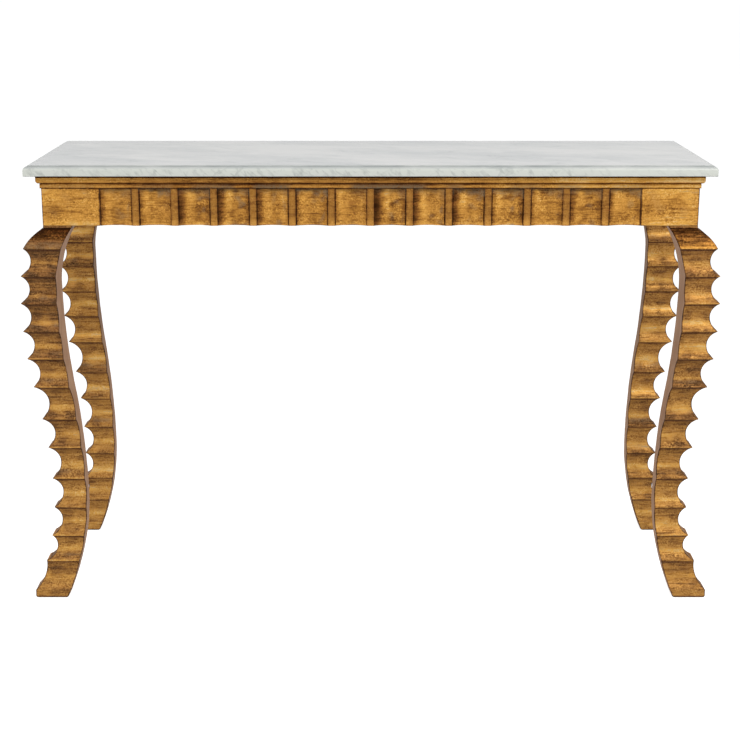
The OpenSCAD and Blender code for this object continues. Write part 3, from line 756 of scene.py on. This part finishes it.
# Centre and radius of the circle that bows a share of the chord in or out between two (reach, z) points
def bow(p, q, share, side):
    p, q = Vector(p), Vector(q)
    chord = (q - p).length
    sag = share * chord
    radius = (chord ** 2 / 4 + sag ** 2) / (2 * sag)
    normal = Vector((p.y - q.y, q.x - p.x)) / chord
    return (p + q) / 2 + normal * (side * (radius - sag)), radius


# The cuts of one face: (upper z, lower z, centre, radius, side)
def faceCuts(line, share, land):
    g = legShape
    r = g["ridges"]
    ends = [(r[i] - land / 2, r[i + 1] + land / 2, share) for i in range(len(r) - 1)]
    ends.append((r[-1] - land / 2, g["toeZ"] + land / 2, g["toeScoop"]))
    cuts = [(top, low) + bow((reach(line, top), top), (reach(line, low), low), ratio, 1) + (1,)
            for top, low, ratio in ends]
    collar = g["topZ"] - g["collarH"]
    if line[0]:
        top = r[0] + land / 2
        bulge = bow((-g["collarLip"], collar), (reach(line, top), top), g["shoulderBulge"], -1)
        cuts.insert(0, (collar, top) + bulge + (-1,))
    return cuts


def carvedReach(line, cuts, z):
    g = legShape
    if z >= g["topZ"] - g["collarH"]:
        return 0.0
    for top, low, centre, radius, side in cuts:
        if low <= z <= top:
            return centre.x - side * math.sqrt(max(radius ** 2 - (z - centre.y) ** 2, 0))
    return line[0] if z > g["ridges"][0] else (line[3] if z <= g["toeZ"] else reach(line, z))


# Heights of the rings: close together where the scallops turn into the ridges
def legHeights(cuts):
    g = legShape
    heights = {9.0, 13.0, g["toeZ"] - 1.0, g["toeZ"], g["topZ"], g["topZ"] - 1.2, g["topZ"] - 2.5,
               g["topZ"] - g["collarH"], g["topZ"] - g["collarH"] - 0.05}
    heights |= {float(z) for z, tuck in g["footTuck"]}
    for top, low, centre, radius, side in cuts:
        a = math.asin(clamp((top - centre.y) / radius, -1, 1))
        b = math.asin(clamp((low - centre.y) / radius, -1, 1))
        heights |= {round(centre.y + radius * math.sin(a + (b - a) * i / g["arcSteps"]), 3)
                    for i in range(g["arcSteps"] + 1)}
    for z in g["ridges"]:
        heights |= {z - 6.0, z - 3.4, z - g["landY"] / 2, z, z + g["landY"] / 2, z + 2.6}
    ordered = sorted(heights)
    return [z for i, z in enumerate(ordered) if i == 0 or z - ordered[i - 1] > 0.04]


# Marks of the shoulder above the first ridge, and of its collar under the block: painted shade with glaze at the
# shoulder's top under the frame, and a painted highlight near the first ridge
def shoulderMarks(z, lump, kept):
    g = legShape
    collar = g["topZ"] - g["collarH"]
    if z > collar:
        return 0.30 * (0.5 + lump), 0.15, 0.35, 0
    down = (collar - z) / (collar - g["ridges"][0])
    dark = 0.5 * fall(0.0, 0.85, down) + 0.30 + 0.3 * fall(0.0, 0.05, down)
    rubbed = 0.6 * smoothStep(0.86, 0.97, down) + (0.3 * smoothStep(0.55, 0.9, down) if kept < 1 else 0)
    return kept * dark * (0.8 + 0.3 * lump), rubbed * (0.3 + lump), (3 * kept - 2.4) * smoothStep(0.4, 0.9, down), 0


# Glaze and painted shade, rubbing and painted highlights, dust film and bole at one point: dark under each ridge,
# bright further down
def scallopMarks(p, z, seed, kept):
    g, w = legShape, legWear
    lump = blotch(p, 16, 18)
    if z > g["ridges"][0]:
        return shoulderMarks(z, lump, kept)
    # At the foot, the darkening of its lowest few millimetres is painted shade where it meets the floor
    if z <= g["toeZ"]:
        return 0.25 * lump + 0.9 * fall(1.0, 4.5, z), 0.35, 0.3, 0
    below = max([r for r in g["ridges"] if r <= z] or [g["toeZ"]])
    above = min([r for r in g["ridges"] if r > z] or [g["topZ"]])
    place = (above - z) / (above - below)
    away = place * (above - below)
    mine, other, third, fourth = (pick(below + seed + step) for step in (0.0, 0.3, 0.6, 0.9))
    # Painted shade with glaze: a dark line under each ridge and a softer darkening of the scallop's upper part, which
    # faces down
    line = smoothStep(0.8, 2.6, away) * fall(3.6, 6.4, away)
    soft = fall(0.0, 0.34 + 0.2 * mine, place)
    # A painted highlight band across each scallop, where its hollow turns up to the light
    bright = bell(place, 0.51 + 0.26 * mine, 0.08 + 0.06 * third)
    bright *= 0.35 + 0.8 * blotch((p[0] * 0.4, p[1], p[2]), 24, 19)
    # Only the flat of some ridges was rubbed bright, and a painted highlight lies on it
    nearest = above if away < 8 else below
    glint = smoothStep(0.4, 0.75, blotch((nearest * 0.27 + seed, 0, 0), 1.7, 29)) * (0.4 + 0.9 * blotch(p, 14, 34))
    crest = max(smoothStep(0.955, 0.98, place), fall(1.0, 2.0, away)) * glint
    smoke = bell(place, 0.79, 0.10) * smoothStep(0.3, 0.7, other) * (0.3 + 0.7 * blotch(p, 20, 20))
    dark = max(w["ridgeLine"] * line * (0.6 + 0.5 * lump), w["upperShadeAndGlaze"] * soft * (0.6 + 0.6 * lump),
               w["stains"] * smoothStep(0.5, 0.75, blotch(p, 26, 30)) * (1 - crest))
    dark += w["smoke"] * smoke + w["lowerGlaze"] * smoothStep(0.78, 0.93, place) * (0.3 + other) * (1 - crest)
    dark += w["kept"] * (fourth - 0.55)
    rubbed = max(w["band"] * bright, w["crest"] * crest) * (1 - line)
    return dark, rubbed, max(w["smokeFilm"] * smoke, w["evenFilm"]), w["lineBole"] * line


def buildLeg(name, node, side, isRear):
    g, w = legShape, legWear
    frieze = nodeBox("frieze_back" if isRear else "frieze_front")
    block = nodeBox("block_back_right" if isRear else "block_front_right")
    cornerX, frontY, backY = block[1].x, frieze[0].y, frieze[1].y
    innerLine = g["rearInner"] if isRear else g["inner"]
    foreLine = g["rear"] if isRear else g["fore"]
    cutsX = faceCuts(g["outer"], g["scallopX"], g["landX"])
    cutsY = faceCuts(foreLine, g["scallopY"], g["landY"])
    ageAndShade, kept = legAgeAndShade[side, isRear]
    seed = 5.0 * side + (31.0 if isRear else 0)
    rings = []
    marks = {"shadeAndGrime": [], "rubAndHighlight": [], "dust": [], "bole": []}
    for z in legHeights(cutsX):
        x1 = cornerX + carvedReach(g["outer"], cutsX, z)
        x0 = cornerX + reach(innerLine, z)
        if isRear:
            y0, y1 = backY - g["rearThick"] - carvedReach(foreLine, cutsY, z), backY
        else:
            y0, y1 = frontY - carvedReach(foreLine, cutsY, z), frontY - reach(g["aft"], z)
        # An aged leg is brownest in its upper scallops, where its painted shade under the frame is heaviest too
        olderAndShaded = ageAndShade
        if ageAndShade > 0:
            olderAndShaded *= (0.3 + 0.7 * smoothStep(480, 720, z)) * (1 if z <= g["ridges"][0] else 0.4)
        tuck = next((t for at, t in g["footTuck"] if abs(at - z) < 0.01), 0)
        ring = boxRing(x0 + tuck, x1 - tuck, y0 + tuck, y1 - tuck, z, g["ease"], g["rim"], g["columnsX"], g["columnsY"])
        for p in ring:
            fromInner, fromOuter = p[0] - x0 - tuck, x1 - tuck - p[0]
            fromFront, fromBack = p[1] - y0 - tuck, y1 - tuck - p[1]
            # A dark line of glaze stayed along the inner arris, and thinner ones along the others
            arris = max(most * fall(g["ease"] + 0.2, g["ease"] + g["rim"], max(gaps)) for most, gaps in (
                (w["innerArris"], (fromInner, fromFront)), (w["outerArris"], (fromOuter, fromFront)),
                (w["backArris"], (fromInner, fromBack))))
            arris *= 0.5 + 0.6 * blotch(p, 18, 31)
            if fromOuter < 0.5 or fromFront < 0.5:
                dark, bright, smoke, red = scallopMarks(p, z, seed, kept)
                dark = max(dark + olderAndShaded, arris) + (w["outerFace"] if fromOuter < 0.5 else 0)
                spot = clamp(dark, low=-0.15, high=1.4), clamp(bright * (1 - arris) * (1 - ageAndShade)), clamp(smoke), red
            else:
                spot = clamp(arris), 0, 0, 0
            for values, value in zip(marks.values(), spot):
                values.append(value)
        if side < 0:
            ring = [(-x, y, z) for x, y, z in ring]
        rings.append(ring)
    verts, faces = loft(rings)
    # Gilding on the outer and front faces, wash on the inner and back ones
    alongX, alongY = g["columnsX"] + 4, g["columnsY"] + 4
    bare = range(alongY - 1, 2 * alongY + alongX - 1)
    slots = [1 if i in bare else 0 for _ in range(len(rings) - 1) for i in range(len(rings[0]))] + [1, 1]

    def tool(p):
        fade = smoothStep(0, 12, p.z) * smoothStep(0, 10, g["topZ"] - p.z)
        return toolMarks(p, g["toolDeep"]) * fade

    return makePiece(name, [node], verts, faces, [gilt, wash], faceSlots=slots, marks=marks,
                     carve=tool, sharpDeg=30)


for sideName, side in (("left", -1), ("right", 1)):
    buildLeg("carved_leg_front_" + sideName, "leg_front_" + sideName, side, False)
    buildLeg("carved_leg_back_" + sideName, "leg_back_" + sideName, side, True)
print("legs built")

# Plain boards behind the gilding, mm: planed, with a small chamfer
boardShape = dict(chamfer=1.0, rim=3, columns=6, stepMm=30, toolDeep=0.25)


def buildBoard(name, node, along, material):
    b = boardShape
    low, high = nodeBox(node)
    axis = 0 if along == "X" else 1
    across = 1 - axis
    steps = max(2, int((high[axis] - low[axis]) / b["stepMm"]))
    places = [0, b["chamfer"]] + [(high[axis] - low[axis]) * i / steps for i in range(1, steps)]
    places += [high[axis] - low[axis] - b["chamfer"], high[axis] - low[axis]]
    rings = []
    for t in places:
        inset = b["chamfer"] if t in (0, places[-1]) else 0
        flat = boxRing(low[across] + inset, high[across] - inset, low.z + inset, high.z - inset, low[axis] + t,
                       b["chamfer"], b["rim"], b["columns"], 2)
        rings.append([(w, u, v) if axis == 0 else (u, w, v) for u, v, w in flat])
    verts, faces = loft(rings)
    return makePiece(name, [node], verts, faces, [material], carve=lambda p: toolMarks(p, b["toolDeep"]),
                     sharpDeg=25)


buildBoard("rail_back", "frieze_back", "X", poplarAlongX)
buildBoard("frame_back", "cornice_back", "X", poplarAlongX)
buildBoard("cross_bearer_left", "bearer_left", "Y", poplarAlongY)
buildBoard("cross_bearer_right", "bearer_right", "Y", poplarAlongY)
print("boards built")

# Hidden joinery keeps its CAD shape
hiddenFinish = {
    "rail_dowels": sawnTimber("beech", "X"), "frame_dowels": sawnTimber("beech", "Y"),
    "leg_dowels": sawnTimber("beech", "Z"), "mitre_keys": sawnTimber("beech", "X"),
    "cornice_screws": zincPlatedSteel(), "slab_pads": mouldedBumper()}
for node, material in hiddenFinish.items():
    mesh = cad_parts[node].data
    mesh.materials.clear()
    mesh.materials.append(material)
print("joinery finished")

# Studio: pale floor that reads white to the camera and keeps soft shadows, world and soft lamps.
# Each lamp has its name, watts, size, place and target
studio = dict(
    floorSize=160, floorTone="#EDEDED", floorLift=0.77, bounceTone="#9A9A9A", skyLight=0.30,
    lamps=(("keySoftbox", 70, (1.4, 1.0), (1.9, -2.3, 2.7), (0, 0, 0.45)),
           ("fillSoftbox", 42, (1.4, 1.0), (-2.4, -2.0, 2.3), (0, 0, 0.45)),
           ("topSoftbox", 5, (2.4, 0.8), (0, -0.5, 3.0), (0, 0, 0.8))))


# 1 where the camera, a mirror or a clear body sees the surface, and 0 where it only lights the object
def seenDirectly(tree):
    path = addNode(tree, "ShaderNodeLightPath").outputs
    seen = calc(tree, "MAXIMUM", path["Is Camera Ray"], path["Is Glossy Ray"])
    return calc(tree, "MAXIMUM", seen, path["Is Transmission Ray"])


def buildFloor():
    bpy.ops.mesh.primitive_grid_add(x_subdivisions=4, y_subdivisions=4, size=studio["floorSize"])
    floor = bpy.context.object
    floor.name = "studio_floor"
    material, tree = startTree("studioPaper")
    seen = seenDirectly(tree)
    tone = blend(tree, seen, studio["bounceTone"], studio["floorTone"])
    paper = addNode(tree, "ShaderNodeBsdfDiffuse", {"Color": tone})
    glow = addNode(tree, "ShaderNodeEmission", {"Strength": calc(tree, "MULTIPLY", seen, studio["floorLift"])})
    both = addNode(tree, "ShaderNodeAddShader", {0: paper.outputs[0], 1: glow.outputs[0]})
    addNode(tree, "ShaderNodeOutputMaterial", {"Surface": both.outputs[0]})
    floor.data.materials.append(material)


def buildWorld():
    world = bpy.data.worlds.new("studioWorld")
    world.use_nodes = True
    tree = world.node_tree
    tree.nodes.clear()
    strength = remap(tree, seenDirectly(tree), 0.0, 1.0, studio["skyLight"], 1.0)
    sky = addNode(tree, "ShaderNodeBackground", {"Color": (1, 1, 1, 1), "Strength": strength})
    addNode(tree, "ShaderNodeOutputWorld", {"Surface": sky.outputs[0]})
    bpy.context.scene.world = world


def addLamp(name, watts, size, place, target):
    lamp = bpy.data.lights.new(name, "AREA")
    lamp.energy = watts
    lamp.shape = "RECTANGLE"
    lamp.size, lamp.size_y = size
    obj = bpy.data.objects.new(name, lamp)
    obj.location = place
    obj.rotation_euler = (Vector(target) - Vector(place)).to_track_quat("-Z", "Y").to_euler()
    bpy.context.scene.collection.objects.link(obj)


buildFloor()
buildWorld()
for lamp in studio["lamps"]:
    addLamp(*lamp)

# Camera, from the perspective of the photograph
view = dict(place=(-0.001, -3.2665, 1.3164), pitchDown=15.01, lens=75.4, sensor=36)
camera = bpy.data.objects.new("photoCamera", bpy.data.cameras.new("photoCamera"))
camera.data.lens, camera.data.sensor_width = view["lens"], view["sensor"]
camera.location = view["place"]
camera.rotation_euler = (math.radians(90 - view["pitchDown"]), 0, 0)
bpy.context.scene.collection.objects.link(camera)
bpy.context.scene.camera = camera
bpy.context.scene.view_settings.view_transform = "Standard"
print("studio and camera set")
